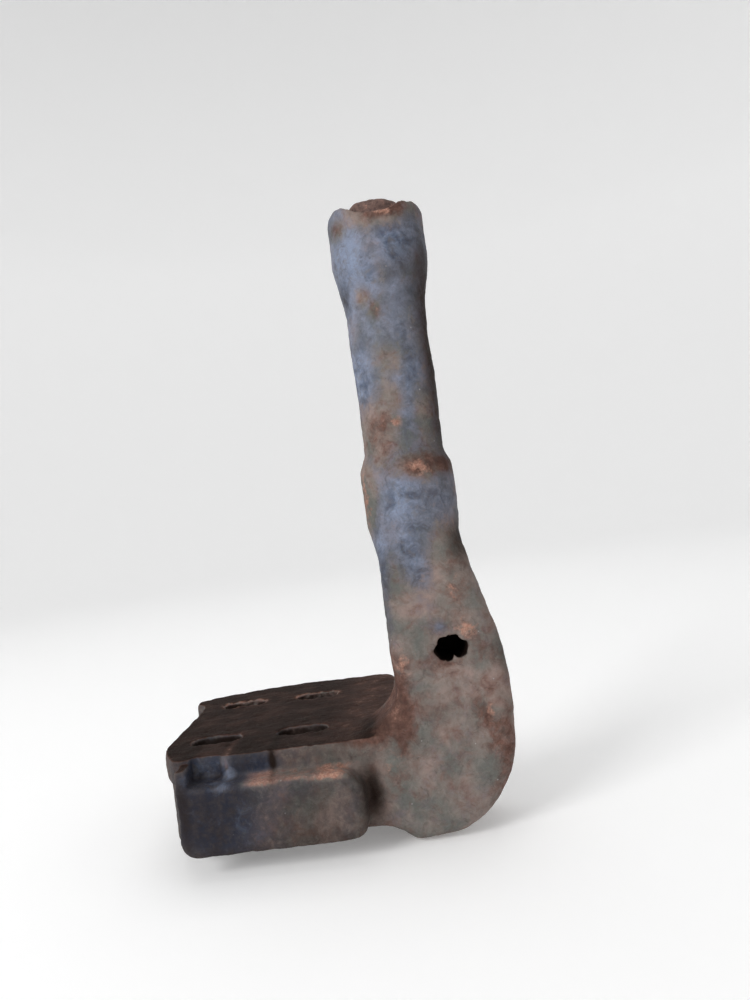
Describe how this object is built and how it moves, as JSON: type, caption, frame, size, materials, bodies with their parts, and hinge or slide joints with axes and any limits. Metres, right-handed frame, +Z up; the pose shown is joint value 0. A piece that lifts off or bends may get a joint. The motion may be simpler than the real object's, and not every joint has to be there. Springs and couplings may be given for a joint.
{
  "type": "pivot hinge bracket",
  "caption": "Cast hinge half: slotted foot, round-heeled elbow and long bushed barrel, with a domed pivot pin that turns in it on a thrust disc.",
  "frame": {"origin": "centre of the four-slot pattern on the foot's top face, which bolts against the door frame", "axes": "+Z up along the pivot pin and out of the foot's mounting face, +X from the foot towards the barrel, +Y from the front face backwards"},
  "size_m": [0.1483, 0.1258, 0.2513],
  "materials": {
    "casting": "worn blue-grey paint over rusted cast iron",
    "bush_bronze": "machined, oiled",
    "disc_steel": "ground",
    "seal_rubber": "matte",
    "nipple_brass": "tarnished",
    "fastener_steel": "rusted",
    "pin_steel": "rusted dome, polished journals"
  },
  "bodies": {
    "bracket": {"bracket_casting": "casting", "upper_bush": "bush_bronze", "lower_bush": "bush_bronze", "thrust_disc": "disc_steel", "dust_seal": "seal_rubber", "upper_grease_nipple": "nipple_brass", "lower_grease_nipple": "nipple_brass", "pin_retaining_screw": "fastener_steel", "retaining_lock_nut": "fastener_steel"},
    "spindle": {"hinge_pin": "pin_steel"}
  },
  "joints": [
    {"name": "pin_turn", "type": "hinge", "parent": "bracket", "child": "spindle", "pos_m": [0.0745, -0.0363, 0.1], "axis": [0, 0, 1], "continuous": true}
  ]
}
